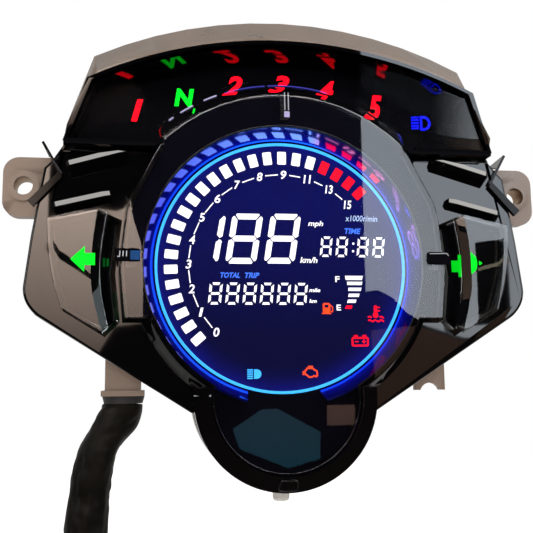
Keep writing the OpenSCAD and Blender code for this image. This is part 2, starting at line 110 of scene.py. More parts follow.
def make_camera():
    yaw, pitch, roll = (math.radians(angle) for angle in CAMERA_TURN)
    turn = Matrix.Rotation(roll, 3, "Z") @ Matrix.Rotation(pitch, 3, "X") @ Matrix.Rotation(yaw, 3, "Y")
    axes = [Vector((row[0], -row[2], row[1])) for row in turn]
    data = bpy.data.cameras.new("camera")
    data.lens = CAMERA_LENS
    data.sensor_width = 36.0
    data.clip_start = 0.01
    camera = bpy.data.objects.new("camera", data)
    scene.collection.objects.link(camera)
    camera.matrix_world = Matrix.Translation(place(*CAMERA_AT)) @ Matrix(axes).transposed().to_4x4()
    scene.camera = camera


# ---------- materials ----------

FINISH = {}


class Nodes:
    """A short way to write the node tree of a material, or of the world."""

    def __init__(self, name, world=False):
        self.name = name
        self.owner = (bpy.data.worlds if world else bpy.data.materials).new(name)
        self.owner.use_nodes = True
        self.tree = self.owner.node_tree
        self.tree.nodes.clear()
        self.out = self.add("ShaderNodeOutputWorld" if world else "ShaderNodeOutputMaterial")
        self.coords = self.add("ShaderNodeTexCoord").outputs["Generated" if world else "Object"]

    def add(self, kind, **values):
        node = self.tree.nodes.new(kind)
        for key, value in values.items():
            setattr(node, key, value)
        return node

    def link(self, a, b):
        self.tree.links.new(a, b)

    def set(self, node, name, value):
        if hasattr(value, "is_output"):
            self.link(value, node.inputs[name])
        else:
            node.inputs[name].default_value = value

    def axes(self):
        """The X, Y and Z of a place in metres, or of a direction."""
        split = self.add("ShaderNodeSeparateXYZ")
        self.link(self.coords, split.inputs[0])
        return split.outputs[0], split.outputs[1], split.outputs[2]

    def noise(self, size_mm, detail=3.0, stretch=(1, 1, 1)):
        mapping = self.add("ShaderNodeMapping")
        mapping.inputs["Scale"].default_value = stretch
        self.link(self.coords, mapping.inputs["Vector"])
        texture = self.add("ShaderNodeTexNoise")
        texture.inputs["Scale"].default_value = 1 / (size_mm * MM)
        texture.inputs["Detail"].default_value = detail
        self.link(mapping.outputs["Vector"], texture.inputs["Vector"])
        return texture.outputs["Fac"]

    def ramp(self, value, low, high, to_low=0.0, to_high=1.0):
        node = self.add("ShaderNodeMapRange")
        self.link(value, node.inputs["Value"])
        for name, number in zip(("From Min", "From Max", "To Min", "To Max"), (low, high, to_low, to_high)):
            node.inputs[name].default_value = number
        return node.outputs["Result"]

    def vary(self, pattern, low=0.0, high=1.0):
        """Stretches the range that a noise mostly keeps to, 0.3 to 0.7, over low to high."""
        return self.ramp(pattern, 0.3, 0.7, low, high)

    def mix(self, share, a, b):
        node = self.add("ShaderNodeMix", data_type="RGBA")
        self.set(node, 0, share)
        self.set(node, 6, a)
        self.set(node, 7, b)
        return node.outputs[2]

    def maths(self, operation, a, b=0.0):
        node = self.add("ShaderNodeMath", operation=operation)
        self.set(node, 0, a)
        self.set(node, 1, b)
        return node.outputs[0]

    def bump(self, height, strength):
        node = self.add("ShaderNodeBump")
        node.inputs["Strength"].default_value = strength
        node.inputs["Distance"].default_value = 0.05 * MM
        self.link(height, node.inputs["Height"])
        return node.outputs["Normal"]

    def finish(self, shader):
        """Ends the tree in a shader, and keeps a material under its name in FINISH."""
        self.link(shader, self.out.inputs["Surface"])
        FINISH[self.name] = self.owner
        return self.owner

    def principled(self, inputs):
        shader = self.add("ShaderNodeBsdfPrincipled")
        for name, value in inputs.items():
            self.set(shader, name, value)
        return self.finish(shader.outputs[0])


def rgba(color):
    return (*color, 1.0)


def scaled(color, k):
    return rgba([c * k for c in color])


def moulded(name, color, roughness, grain_mm=0.35, grain=0.08, mottle=0.12, specular=0.5):
    """Solid plastic or rubber: fine grain in the surface and slow changes in colour and gloss."""
    n = Nodes(name)
    slow = n.noise(14.0)
    fine = n.noise(grain_mm, detail=2.0)
    inputs = {
        "Base Color": n.mix(n.vary(slow), scaled(color, 1 - mottle), scaled(color, 1 + mottle)),
        "Specular IOR Level": specular,
        "Roughness": n.vary(slow, roughness * 0.75, roughness * 1.25),
    }
    if grain:
        inputs["Normal"] = n.bump(fine, grain)
    n.principled(inputs)


def brushed(name, color, roughness, stretch=(1, 1, 14)):
    """Plated or sleeved metal with fine drawn lines."""
    n = Nodes(name)
    lines = n.noise(1.2, detail=4.0, stretch=stretch)
    n.principled({
        "Base Color": n.mix(lines, scaled(color, 0.8), scaled(color, 1.1)),
        "Metallic": 1.0,
        "Roughness": n.vary(lines, roughness * 0.8, roughness * 1.3),
        "Normal": n.bump(lines, 0.1),
    })


def smoked(name, tint, gloss_share, end_share=None):
    """Polished see-through plastic: what is behind it is dimmed by the tint, and it mirrors more at a slant.

    With end_share it mirrors more towards the right-hand end, up to that share: a painted sheen that grows
    from x 62 to 84 mm.
    """
    n = Nodes(name)
    haze = n.noise(30.0)
    through = n.add("ShaderNodeBsdfTransparent")
    n.set(through, "Color", n.mix(haze, scaled(tint, 0.96), scaled(tint, 1.02)))
    gloss = n.add("ShaderNodeBsdfGlossy")
    n.set(gloss, "Color", (1, 1, 1, 1))
    n.set(gloss, "Roughness", n.vary(haze, 0.0105, 0.021))
    weight = n.add("ShaderNodeLayerWeight")
    n.set(weight, "Blend", 0.5)
    slant = n.maths("POWER", weight.outputs["Facing"], 5.0)
    # painted sheen: the mirror share grows towards the right-hand end
    if end_share:
        painted_sheen = n.maths("POWER", n.ramp(n.axes()[0], 62 * MM, 84 * MM), 1.5)
        gloss_share = n.ramp(painted_sheen, 0, 1, gloss_share, end_share)
    share = n.maths("ADD", n.maths("MULTIPLY", slant, 0.95), gloss_share)
    inner = n.add("ShaderNodeNewGeometry").outputs["Backfacing"]
    shader = n.add("ShaderNodeMixShader")
    n.set(shader, 0, n.maths("MULTIPLY", share, n.ramp(inner, 0, 1, 1.0, 0.1)))
    n.link(through.outputs[0], shader.inputs[1])
    n.link(gloss.outputs[0], shader.inputs[2])
    n.finish(shader.outputs[0])


def lit(name, color, strength, edge=0.85):
    """A lit mark: even light with a slight fall in places, over a glossy film."""
    n = Nodes(name)
    n.principled({
        "Base Color": scaled(color, 0.3),
        "Specular IOR Level": 0.03,
        "Roughness": 0.4,
        "Emission Color": rgba(color),
        "Emission Strength": n.ramp(n.noise(1.6), 0.35, 0.65, strength * edge, strength),
    })


def well_wall():
    """Polished dark wall round the display. Its emission is a painted blue glow that stands in for the ring's
    light, most of all at its foot, and its base colour is a painted reflection tint.
    """
    n = Nodes("well_wall")
    x, y, z = n.axes()
    # painted glow: blue emission for the ring's light, strongest at the wall's foot
    foot = n.maths("POWER", n.ramp(y, -13.8 * MM, -5.6 * MM), 2.6)
    high = n.ramp(z, -35 * MM, 0)
    # painted reflection tint: blue, brighter away from the left and towards the top, and red-lilac on the
    # upper right
    across = n.maths("MULTIPLY", n.ramp(x, -50 * MM, 0), high)
    warm = n.maths("MULTIPLY", n.ramp(x, 12 * MM, 20 * MM), high)
    blues = n.mix(across, (0.03, 0.055, 0.62, 1), (0.15, 0.30, 1.0, 1))
    n.principled({
        "Base Color": n.mix(warm, blues, (0.62, 0.16, 0.42, 1)),
        "Metallic": 1.0,
        "Roughness": n.vary(n.noise(3.0), 0.07, 0.11),
        "Emission Color": n.mix(foot, (0.0, 0.0, 0.02, 1), (0.002, 0.006, 0.42, 1)),
        "Emission Strength": 1.0,
    })


def display_film():
    """The display film: deep navy, brightest round the big figures and again close to the ring."""
    n = Nodes("display_film")
    x, _, up = n.axes()
    z = n.maths("SUBTRACT", up, DIAL_Z * MM)
    r = n.maths("SQRT", n.maths("ADD", n.maths("MULTIPLY", x, x), n.maths("MULTIPLY", z, z)))
    near_ring = n.maths("POWER", n.ramp(r, 40 * MM, 50.5 * MM), 2.0)
    inner = n.mix(n.ramp(z, -30 * MM, 25 * MM), (0.0006, 0.0010, 0.028, 1), (0.0012, 0.0030, 0.105, 1))
    glow = n.mix(near_ring, inner, (0.004, 0.006, 0.20, 1))
    n.principled({
        "Base Color": (0.002, 0.002, 0.012, 1),
        "Specular IOR Level": 0.02,
        "Roughness": 0.5,
        "Emission Color": n.mix(n.vary(n.noise(9.0), 0.0, 0.25), glow, (0.002, 0.002, 0.04, 1)),
        "Emission Strength": 1.0,
    })


GREEN = (0.0, 1.0, 0.02)

moulded("case_grey", (0.160, 0.112, 0.082), 0.34, grain_mm=0.5, grain=0.12, mottle=0.05)
moulded("gloss_black", (0.0010, 0.0009, 0.0012), 0.03, grain=0.0, specular=0.55)
moulded("satin_black", (0.006, 0.006, 0.0065), 0.2, grain_mm=0.4, grain=0.05)
moulded("printed_black", (0.0006, 0.0006, 0.0014), 0.5, grain_mm=0.3, grain=0.05, specular=0.02)
moulded("well_black", (0.0003, 0.0003, 0.0030), 0.6, grain_mm=0.3, grain=0.04, specular=0.02)
moulded("clip_black", (0.0025, 0.0020, 0.0020), 0.12, grain=0.0, specular=0.14)
moulded("ceiling_black", (0.0006, 0.0006, 0.0006), 0.05, grain=0.0, specular=1.0)
moulded("rubber_black", (0.018, 0.018, 0.018), 0.6, grain_mm=0.5, grain=0.2)
moulded("sleeve_black", (0.0055, 0.0045, 0.0030), 0.45, grain_mm=0.6, grain=0.12, mottle=0.3,
        specular=0.08)
moulded("lead_black", (0.02, 0.02, 0.02), 0.4)
moulded("display_navy", (0.003, 0.003, 0.03), 0.25)
moulded("diffuser_white", (0.8, 0.8, 0.78), 0.5)
moulded("white_plastic", (0.72, 0.72, 0.7), 0.4)
moulded("board_green", (0.015, 0.09, 0.035), 0.35, grain_mm=0.8, grain=0.1, mottle=0.25)
moulded("chip_black", (0.02, 0.02, 0.022), 0.5, grain_mm=0.25, grain=0.2)
moulded("button_grey", (0.48, 0.46, 0.42), 0.4)
moulded("plug_white", (0.68, 0.65, 0.56), 0.45, grain_mm=0.5, grain=0.1)
brushed("capacitor", (0.3, 0.32, 0.36), 0.3)
brushed("steel", (0.5, 0.5, 0.5), 0.32)
brushed("bush_bronze", (0.30, 0.20, 0.13), 0.35, stretch=(1, 6, 1))
brushed("brass", (0.62, 0.42, 0.14), 0.25)
smoked("smoked_lens", (0.96, 0.95, 0.97), 0.045)
# the gear lens gets a painted sheen towards its right-hand end
smoked("gear_lens", (0.97, 0.97, 0.97), 0.001, end_share=0.035)
smoked("signal_lens", (0.80, 0.80, 0.80), 0.05)
smoked("lcd_glass", (0.2, 0.25, 0.4), 0.05)
lit("light_blue", (0.05, 0.45, 1.0), 1.5)
lit("led_white", (1.0, 1.0, 1.0), 1.3)
lit("lit_white", (1.0, 1.0, 1.0), 1.4, edge=0.95)
lit("lit_pale", (0.5, 0.68, 1.0), 1.2)
lit("lit_red", (1.0, 0.004, 0.022), 1.5)
lit("lit_orange", (1.0, 0.07, 0.015), 1.5)
lit("lit_green", GREEN, 1.0, edge=0.97)
# painted reflection: dim green for the left turn arrow's second image
lit("painted_reflection_green", (0.0, 0.10, 0.01), 1.0)
lit("lit_sky", (0.06, 0.2, 1.0), 1.3)
lit("gear_red", (1.0, 0.001, 0.008), 3.0)
lit("gear_green", GREEN, 1.6)
lit("gear_blue", (0.003, 0.006, 1.0), 2.6)
# painted highlights and glow, as emission: the crest's glints and the index pins' edges and ends
lit("glint_lilac", (0.42, 0.38, 0.60), 1.0)
lit("glint_blue", (0.05, 0.05, 0.40), 1.0)
lit("glint_silver", (0.42, 0.42, 0.46), 1.0)
lit("glint_teal", (0.01, 0.05, 0.16), 1.0)
well_wall()
display_film()


# ---------- mesh helpers ----------

def make_piece(name, work, finish, body="cluster", sharp=30, flat=False, weighted=False):
    """Turns a bmesh in metres into a piece that rides on a body."""
    mesh = bpy.data.meshes.new(name)
    work.to_mesh(mesh)
    work.free()
    mesh.materials.append(FINISH[finish])
    if not flat:
        for face in mesh.polygons:
            face.use_smooth = True
        mesh.set_sharp_from_angle(angle=math.radians(sharp))
    obj = bpy.data.objects.new(name, mesh)
    scene.collection.objects.link(obj)
    if weighted:
        even = obj.modifiers.new("even", "WEIGHTED_NORMAL")
        even.keep_sharp = True
        even.weight = 100
    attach(obj, body)
    return obj


def skin(rings, wrapped=True, closed=False, caps=False):
    """A bmesh over rings of points, in metres: faces join each ring to the next.

    wrapped closes every ring, closed joins the last ring to the first, and caps fills both end rings.
    """
    work = bmesh.new()
    rings = [[work.verts.new(point) for point in ring] for ring in rings]
    count = len(rings[0])
    for a, b in zip(rings, rings[1:] + rings[:1] if closed else rings[1:]):
        for k in range(count if wrapped else count - 1):
            j = (k + 1) % count
            work.faces.new((a[k], a[j], b[j], b[k]))
    if caps:
        work.faces.new(rings[0][::-1])
        work.faces.new(rings[-1])
    bmesh.ops.recalc_face_normals(work, faces=work.faces)
    work.verts.ensure_lookup_table()
    return work


def lathe(name, profile, centre, finish, start=0.0, end=360.0, steps=128, sharp=30):
    """Turns a profile of (radius, depth) points about an axis along Y through the (x, z) centre."""
    whole = end - start == 360.0
    rings = []
    for i in range(steps if whole else steps + 1):
        angle = start + (end - start) * i / steps
        points = [(around(*centre, r, angle), depth) for r, depth in profile]
        rings.append([place(x, depth, z) for (x, z), depth in points])
    return make_piece(name, skin(rings, closed=whole, caps=not whole), finish, sharp=sharp)


def rounded_outline(w, h, r, steps):
    """The (x, z) points of a rounded rectangle about the origin."""
    points = []
    for sx, sz, start in ((1, 1, 0), (-1, 1, 90), (-1, -1, 180), (1, -1, 270)):
        corner = (sx * (w / 2 - r), sz * (h / 2 - r))
        points += [around(*corner, r, start + 90 * step / steps) for step in range(steps + 1)]
    return points


def cut_across(work, at, normal, **options):
    """Cuts a bmesh by a plane; the option clear_inner or clear_outer drops one side of it."""
    return bmesh.ops.bisect_plane(work, geom=work.verts[:] + work.edges[:] + work.faces[:],
                                  plane_co=at, plane_no=normal, **options)


# ---------- moulded copies of CAD nodes ----------

def any_edge(edge):
    return True


def round_edges(work, width, angle, segments, chosen=any_edge, clamp=True):
    """Bevels the chosen edges that turn by more than angle, width millimetres wide."""
    limit = math.radians(angle)
    edges = [e for e in work.edges if len(e.link_faces) == 2 and e.calc_face_angle(0) > limit and chosen(e)]
    bmesh.ops.bevel(work, geom=edges, offset=width * MM, segments=segments, profile=0.5, affect="EDGES",
                    clamp_overlap=clamp)


def at_flank_corner(edge):
    """The upright edges at the widest corners of the body, low on each side."""
    a, b = edge.verts[0].co / MM, edge.verts[1].co / MM
    return (edge.is_convex and abs(a.x - b.x) < 0.4 and abs(a.z - b.z) < 0.4
            and abs(a.x) > 96 and -56 < a.z < -41)


def on_body_rim(edge):
    """The outer front edge of the body, below the window."""
    a, b = edge.verts[0].co / MM, edge.verts[1].co / MM
    centre = (a + b) / 2
    level = abs(a.y + 10) < 0.05 and abs(b.y + 10) < 0.05
    low = a.z < 15.5 and b.z < 15.5
    in_signal = 63 < abs(centre.x) < 93.5 and -62.5 < centre.z < -11
    in_pod = math.hypot(centre.x, centre.z - DIAL_Z) < 75
    in_eye = math.hypot(centre.x, centre.z - EYE_Z) < 37.5
    return level and low and not (in_signal or in_pod or in_eye)


def on_lens_front(edge):
    """The outline of the lens's outer front face."""
    return edge.is_convex and max(v.co.y for v in edge.verts) < -17.9 * MM


def lean_back(top_line):
    """Leans the upper part of a fin's front back, where it stands above a line just under its top."""
    (x0, z0), (x1, z1) = top_line

    def shape(work):
        for v in work.verts:
            line = z0 + (abs(v.co.x) / MM - x0) * (z1 - z0) / (x1 - x0)
            if v.co.y / MM < -12 and v.co.z / MM > line - FIN_BAND:
                v.co.y += FIN_LEAN * MM
    return shape


def split_frame(work):
    """Cuts the gear window's frame across, just above its lower lip."""
    cut_across(work, place(0, 0, LIP_TOP), (0, 0, 1), dist=1e-7)


def rounded_node(node, width=None, finish=None, body="cluster", first=(), clamp=True, shaping=None,
                 chosen=any_edge):
    """Replaces a CAD node by the same shape with moulded, rounded edges; first holds (test, width)."""
    work = bmesh.new()
    work.from_mesh(nodes[node].data)
    bmesh.ops.remove_doubles(work, verts=work.verts, dist=WELD * MM)
    bmesh.ops.dissolve_limit(work, angle_limit=math.radians(0.8), verts=work.verts, edges=work.edges)
    if shaping:
        shaping(work)
    for picked, wide in first:
        round_edges(work, wide, 20, 4, picked, clamp=False)
    if width:
        round_edges(work, width, 28, 2, chosen, clamp)
    slot = SLOT_OF[node]
    obj = make_piece(node + "_moulded", work, finish or slot, body, sharp=50, weighted=True)
    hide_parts(node)
    return obj


def paint_faces(obj, finish, chosen):
    """Gives the faces for which chosen(centre in mm, normal) holds a second finish."""
    obj.data.materials.append(FINISH[finish])
    for face in obj.data.polygons:
        if chosen(face.center / MM, face.normal):
            face.material_index = 1


def make_shells():
    """The shells, the lenses, the fins and the small black parts, rounded."""
    bezel = rounded_node("front_bezel", shaping=split_frame,
                         first=((at_flank_corner, 3.5), (on_body_rim, 1.3)))
    # the lip under the gear window is left matt
    paint_faces(bezel, "printed_black",
                lambda at, normal: normal.y < -0.6 and at.y < -13 and LIP_FOOT < at.z < LIP_TOP)
    rounded_node("rear_case", first=((at_flank_corner, 3.5),))
    rounded_node("gear_lens", 0.3, finish="gear_lens")
    lens = rounded_node("main_lens", 0.4, clamp=False, chosen=on_lens_front)
    # the lens is clear on its front and its crest; its other sides are painted black from inside
    paint_faces(lens, "gloss_black", lambda at, normal: abs(normal.y) < 0.9 and at.z < 12)
    for level, top_line in FIN_TOPS.items():
        for _, word in SIDES:
            rounded_node("fin_" + level + "_" + word, 0.15, shaping=lean_back(top_line))
    for _, word in SIDES:
        rounded_node("side_clip_" + word, 0.3, finish="clip_black")
    rounded_node("gear_surround", 0.1, finish="printed_black")
    for node, width in (("dial_rim", 0.25), ("index_pin_left", 0.15), ("index_pin_right", 0.15),
                        ("index_pin_top", 0.12), ("case_screws", 0.2), ("breather", 0.4),
                        ("outlet_grommet", 0.5)):
        rounded_node(node, width)
    rounded_node("reset_button", 0.4, body="button")


# ---------- flat marks ----------

class Ink:
    """Flat raised marks that share one finish, drawn in the XZ plane at one depth."""

    def __init__(self, name, finish, slot, depth, thick=MARK_T):
        self.name, self.finish, self.slot, self.depth, self.thick = name, finish, slot, depth, thick
        self.work = bmesh.new()

    def shape(self, outline):
        """A closed outline of (x, z) points, as a thin plate."""
        back = [self.work.verts.new(place(x, self.depth, z)) for x, z in outline]
        front = [self.work.verts.new(place(x, self.depth + self.thick, z)) for x, z in outline]
        self.work.faces.new(front)
        self.work.faces.new(back[::-1])
        for i in range(len(outline)):
            j = (i + 1) % len(outline)
            self.work.faces.new((back[i], back[j], front[j], front[i]))

    def box(self, left, low, right, high):
        self.shape([(left, high), (right, high), (right, low), (left, low)])

    def stroke(self, a, b, width):
        a, b = Vector(a), Vector(b)
        ahead = (b - a).normalized() * (width / 2)
        side = Vector((-ahead.y, ahead.x))
        self.shape([tuple(p) for p in (a + side, a - side, b - side, b + side)])

    def path(self, points, width):
        for a, b in zip(points, points[1:]):
            self.stroke(a, b, width)

    def rounded_box(self, x, z, w, h, r, turn=0.0):
        c, s = math.cos(turn), math.sin(turn)
        self.shape([(x + u * c - v * s, z + u * s + v * c) for u, v in rounded_outline(w, h, r, 3)])

    def disc(self, x, z, r, start=0, end=360, count=24):
        steps = count if end - start == 360 else count + 1
        self.shape([around(x, z, r, start + (end - start) * i / count) for i in range(steps)])

    def band(self, x, z, r0, r1, start, end, count):
        angles = [start + (end - start) * i / count for i in range(count + 1)]
        self.shape([around(x, z, r1, a) for a in angles] + [around(x, z, r0, a) for a in reversed(angles)])

    def words(self, text, left, low, right, high, slant=0.0, bold=0.0, cut=None):
        """Generic dial wording or figures, fitted to a box, squeezed below a cut line (height, slope)."""
        curve = bpy.data.curves.new("words", "FONT")
        curve.body = text
        curve.size = 1.0
        curve.shear = slant
        curve.offset = bold
        curve.extrude = 0.1
        curve.resolution_u = 3
        holder = bpy.data.objects.new("words", curve)
        mesh = bpy.data.meshes.new_from_object(holder)
        lo = [min(v.co[i] for v in mesh.vertices) for i in range(3)]
        hi = [max(v.co[i] for v in mesh.vertices) for i in range(3)]
        for vertex in mesh.vertices:
            u, v, w = [(vertex.co[i] - lo[i]) / (hi[i] - lo[i]) for i in range(3)]
            vertex.co = place(left + (right - left) * u, self.depth + self.thick * w, low + (high - low) * v)
        if cut:
            self.split(mesh, (left + right) / 2, *cut)
        else:
            self.work.from_mesh(mesh)
        bpy.data.objects.remove(holder)
        bpy.data.curves.remove(curve)
        bpy.data.meshes.remove(mesh)

    def split(self, mesh, x, height, slope):
        """Adds a mark that the pod's crest cuts: its lower part shows squeezed and shifted in the bevel."""
        gap, squeeze, shift, shear = 0.7, 0.62, 1.1, 0.25
        for lower in (False, True):
            part = bmesh.new()
            part.from_mesh(mesh)
            bmesh.ops.remove_doubles(part, verts=part.verts, dist=WELD * MM)
            found = cut_across(part, place(x, self.depth, height), (-slope, 0, 1),
                               clear_outer=lower, clear_inner=not lower)
            rim = [e for e in found["geom_cut"] if isinstance(e, bmesh.types.BMEdge)]
            bmesh.ops.holes_fill(part, edges=rim, sides=0)
            if lower:
                for vertex in part.verts:
                    line = height * MM + slope * (vertex.co.x - x * MM)
                    drop = line - vertex.co.z
                    vertex.co.z = line - gap * MM - squeeze * drop
                    vertex.co.x -= shift * MM + shear * drop
            piece = bpy.data.meshes.new("part")
            part.to_mesh(piece)
            part.free()
            self.work.from_mesh(piece)
            bpy.data.meshes.remove(piece)

    def done(self):
        bmesh.ops.remove_doubles(self.work, verts=self.work.verts, dist=WELD * MM)
        bmesh.ops.recalc_face_normals(self.work, faces=self.work.faces)
        make_piece(self.name, self.work, self.finish, flat=True)


# ---------- harness ----------

def smooth_route(points, per_span):
    """Points on a curve through the route, per_span to each stretch."""
    ends = [2 * Vector(points[0]) - Vector(points[1])] + [Vector(p) for p in points]
    ends.append(2 * Vector(points[-1]) - Vector(points[-2]))
    line = []
    for a, b, c, d in zip(ends, ends[1:], ends[2:], ends[3:]):
        line += [curve_point(a, b, c, d, i / per_span) for i in range(per_span)]
    line.append(ends[-2])
    return line


def sleeve_radius(t, run):
    """Radius of the slack sleeve at angle t, after a run in millimetres: folded, twisted and pinched."""
    twist = 0.055 * run + 0.9 * math.sin(run / 19)
    squash = 1 + 0.10 * math.cos(2 * (t - twist))
    crease = abs(math.sin(1.5 * t + 0.09 * run + 1.3 * math.sin(run / 13)))
    pinch = 1 - sum(share * math.exp(-((run - at) / half) ** 2) for at, half, share in SLEEVE_PINCHES)
    p = Vector((math.cos(t) * 1.4, math.sin(t) * 1.4, run / 9))
    wrinkle = 0.075 * noise.noise(p) + 0.03 * noise.noise(p * 2.7)
    settle = min(run / 6, 1)
    return SLEEVE_R * (1 + settle * (squash * pinch * (0.93 + 0.10 * crease ** 0.6) - 1 + wrinkle))


def make_harness():
    """A soft sleeve that is slack round its leads, with the plug on its end."""
    line = smooth_route(SLEEVE_ROUTE, 12)
    sides = 56
    rings = []
    run = 0.0
    for i, centre in enumerate(line):
        if i:
            run += (centre - line[i - 1]).length
        ahead = (line[min(i + 1, len(line) - 1)] - line[max(i - 1, 0)]).normalized()
        side = ahead.cross(Vector((0, 1, 0))).normalized()
        up = side.cross(ahead)
        ring = []
        for t in [2 * math.pi * k / sides for k in range(sides)]:
            offset = sleeve_radius(t, run) * (math.cos(t) * side + math.sin(t) * up)
            ring.append((centre + offset) * MM)
        rings.append(ring)
    obj = make_piece("harness_sleeve_folds", skin(rings, caps=True), "sleeve_black", sharp=60)
    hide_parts("harness_sleeve")
    plug = [rounded_node("plug_housing", 0.5), rounded_node("plug_lock", 0.25), nodes["plug_terminals"]]


# ---------- display ----------

def stub_bars(w, h, t):
    """Bars of a small figure, with short cross bars that stand clear of the uprights."""
    mid, c0, c1 = h / 2, 0.2 * w, 0.8 * w
    return {
        "a": [(c0, h), (c1, h), (c1 - 0.4 * t, h - t), (c0 + 0.4 * t, h - t)],
        "d": [(c0 + 0.4 * t, t), (c1 - 0.4 * t, t), (c1, 0), (c0, 0)],
        "g": [(c0, mid + t / 2), (c1, mid + t / 2), (c1 + 0.3 * t, mid), (c1, mid - t / 2),
              (c0, mid - t / 2), (c0 - 0.3 * t, mid)],
        "f": [(0, h - 0.6 * t), (t, h - 1.5 * t), (t, mid + 0.75 * t), (0.3 * t, mid + 0.5 * t),
              (0, mid + 0.8 * t)],
        "e": [(0, mid - 0.8 * t), (0.3 * t, mid - 0.5 * t), (t, mid - 0.75 * t), (t, 1.5 * t), (0, 0.6 * t)],
    }


def full_bars(w, h, t):
    """Bars of a large figure, mitred, with thin gaps between them."""
    mid, gap = h / 2, 0.14 * t
    return {
        "a": [(0.75 * t, h), (w - 0.75 * t, h), (w - 0.6 * t, h - 0.25 * t), (w - gap - t, h - t),
              (gap + t, h - t), (0.6 * t, h - 0.25 * t)],
        "d": [(gap + t, t), (w - gap - t, t), (w - 0.6 * t, 0.25 * t), (w - 0.75 * t, 0), (0.75 * t, 0),
              (0.6 * t, 0.25 * t)],
        "g": [(t, mid + t / 2), (w - t, mid + t / 2), (w - 0.55 * t, mid), (w - t, mid - t / 2),
              (t, mid - t / 2), (0.55 * t, mid)],
        "f": [(0, h - 0.85 * t), (0.12 * t, h - 0.55 * t), (0.38 * t, h - 0.42 * t), (t, h - t - gap),
              (t, mid + t / 2 + gap), (0.45 * t, mid + gap), (0, mid + 0.4 * t)],
        "e": [(0, mid - 0.4 * t), (0.45 * t, mid - gap), (t, mid - t / 2 - gap), (t, t + gap),
              (0.38 * t, 0.42 * t), (0.12 * t, 0.55 * t), (0, 0.85 * t)],
    }


def segment_digit(ink, x, z, w, h, t, lean, style=full_bars, lit_bars="abcdefg"):
    """One seven-segment figure; (x, z) is its lower left corner and lean shifts its top to the right."""
    bars = style(w, h, t)
    bars["b"] = [(w - u, v) for u, v in bars["f"]]
    bars["c"] = [(w - u, v) for u, v in bars["e"]]
    for name in lit_bars:
        ink.shape([(x + u + lean * v / h, z + v) for u, v in bars[name]])


def tachometer(white, red):
    """Twenty white and four red bars, and the figures inside them joined by short lines."""
    bar_r, first_bar, bar_step = 45.2, 220.9, 7.72
    figure_r, first_figure, figure_step = 38.1, 225, 182 / 12
    for i in range(24):
        angle = first_bar - bar_step * i
        ink = white if i < 20 else red
        ink.rounded_box(*around(0, DIAL_Z, bar_r, angle), 5.4, 3.6, 0.4, math.radians(angle))
    figures = ("0", "1", "2", "3", "4", "5", "6", "7", "8", "9", "11", "13", "15")
    for i, figure in enumerate(figures):
        angle = first_figure - figure_step * i
        x, z = around(0, DIAL_Z, figure_r, angle)
        half = 1.65 if len(figure) > 1 else 0.95 if figure == "1" else 1.2
        white.words(figure, x - half, z - 1.8, x + half, z + 1.8, slant=0.15, bold=0.02)
        if i < len(figures) - 1:
            near = math.degrees((2.4 if i < 10 else 3.1) / figure_r)
            far = math.degrees((2.4 if i < 9 else 3.1) / figure_r)
            white.stroke(around(0, DIAL_Z, figure_r, angle - near),
                         around(0, DIAL_Z, figure_r, angle - figure_step + far), 0.45)


def speed_and_clock(white, sky, pale):
    z = DIAL_Z
    segment_digit(white, -34.0, z + 0.6, 7.6, 20.6, 2.3, 3.6, lit_bars="bc")
    segment_digit(white, -23.5, z + 0.7, 12.6, 20.7, 2.4, 3.3)
    segment_digit(white, -7.7, z + 0.9, 12.6, 20.7, 2.4, 3.3)
    for x in (15.6, 22.2, 31.1, 37.8):
        segment_digit(white, x, z + 3.9, 4.7, 8.5, 0.95, 0.9, stub_bars)
    for i in range(6):
        segment_digit(white, -30.4 + 6.95 * i, z - 15.9, 5.2, 8.9, 1.0, 0.9, stub_bars)
    for dz in (6.4, 9.6):
        white.disc(29.4 + dz * 0.05, z + dz, 0.5, count=12)
    for ink, text, left, low, right, high, slant, bold in (
            (white, "mph", 11.0, 16.1, 17.3, 18.9, 0.2, 0.02),
            (white, "km/h", 7.4, 1.3, 14.6, 3.7, 0.2, 0.02),
            (pale, "x1000r/min", 26.8, 19.0, 40.4, 21.5, 0.15, 0.0),
            (sky, "TIME", 26.3, 13.7, 33.2, 16.0, 0.2, 0.03),
            (sky, "TOTAL", -25.3, -5.1, -17.4, -2.9, 0.25, 0.03),
            (sky, "TRIP", -15.4, -5.1, -9.5, -2.9, 0.25, 0.03),
            (white, "mile", 10.9, -10.7, 15.5, -9.1, 0.2, 0.03),
            (white, "km", 10.9, -15.1, 14.0, -13.6, 0.2, 0.03)):
        ink.words(text, left, z + low, right, z + high, slant, bold)


def fuel_gauge(white, red, orange):
    z = DIAL_Z
    white.words("F", 21.9, z - 6.5, 23.7, z - 4.1, bold=0.02)
    white.words("E", 22.2, z - 18.2, 24.0, z - 15.8, bold=0.02)
    for i in range(6):
        left = 26.0 + 1.5 * math.sin(math.pi * i / 5.4)
        right = left + 7.5 - 1.0 * i
        high = z - 3.9 - 2.45 * i
        low = high - (1.7 if i == 0 else 1.35)
        ink = white if i < 5 else red
        ink.shape([(left, high), (right, high), (right - 0.4, low), (left + 0.3 - 0.2 * i, low)])
    # pump: body with a window, foot and hose
    orange.path([(16.8, z - 19.0), (16.8, z - 15.5), (19.2, z - 15.5), (19.2, z - 19.0)], 0.7)
    orange.box(16.8, z - 19.2, 19.2, z - 17.0)
    orange.stroke((16.1, z - 19.4), (19.9, z - 19.4), 0.5)
    orange.path([(19.4, z - 15.9), (20.5, z - 16.8), (20.5, z - 18.8), (19.8, z - 18.6)], 0.4)


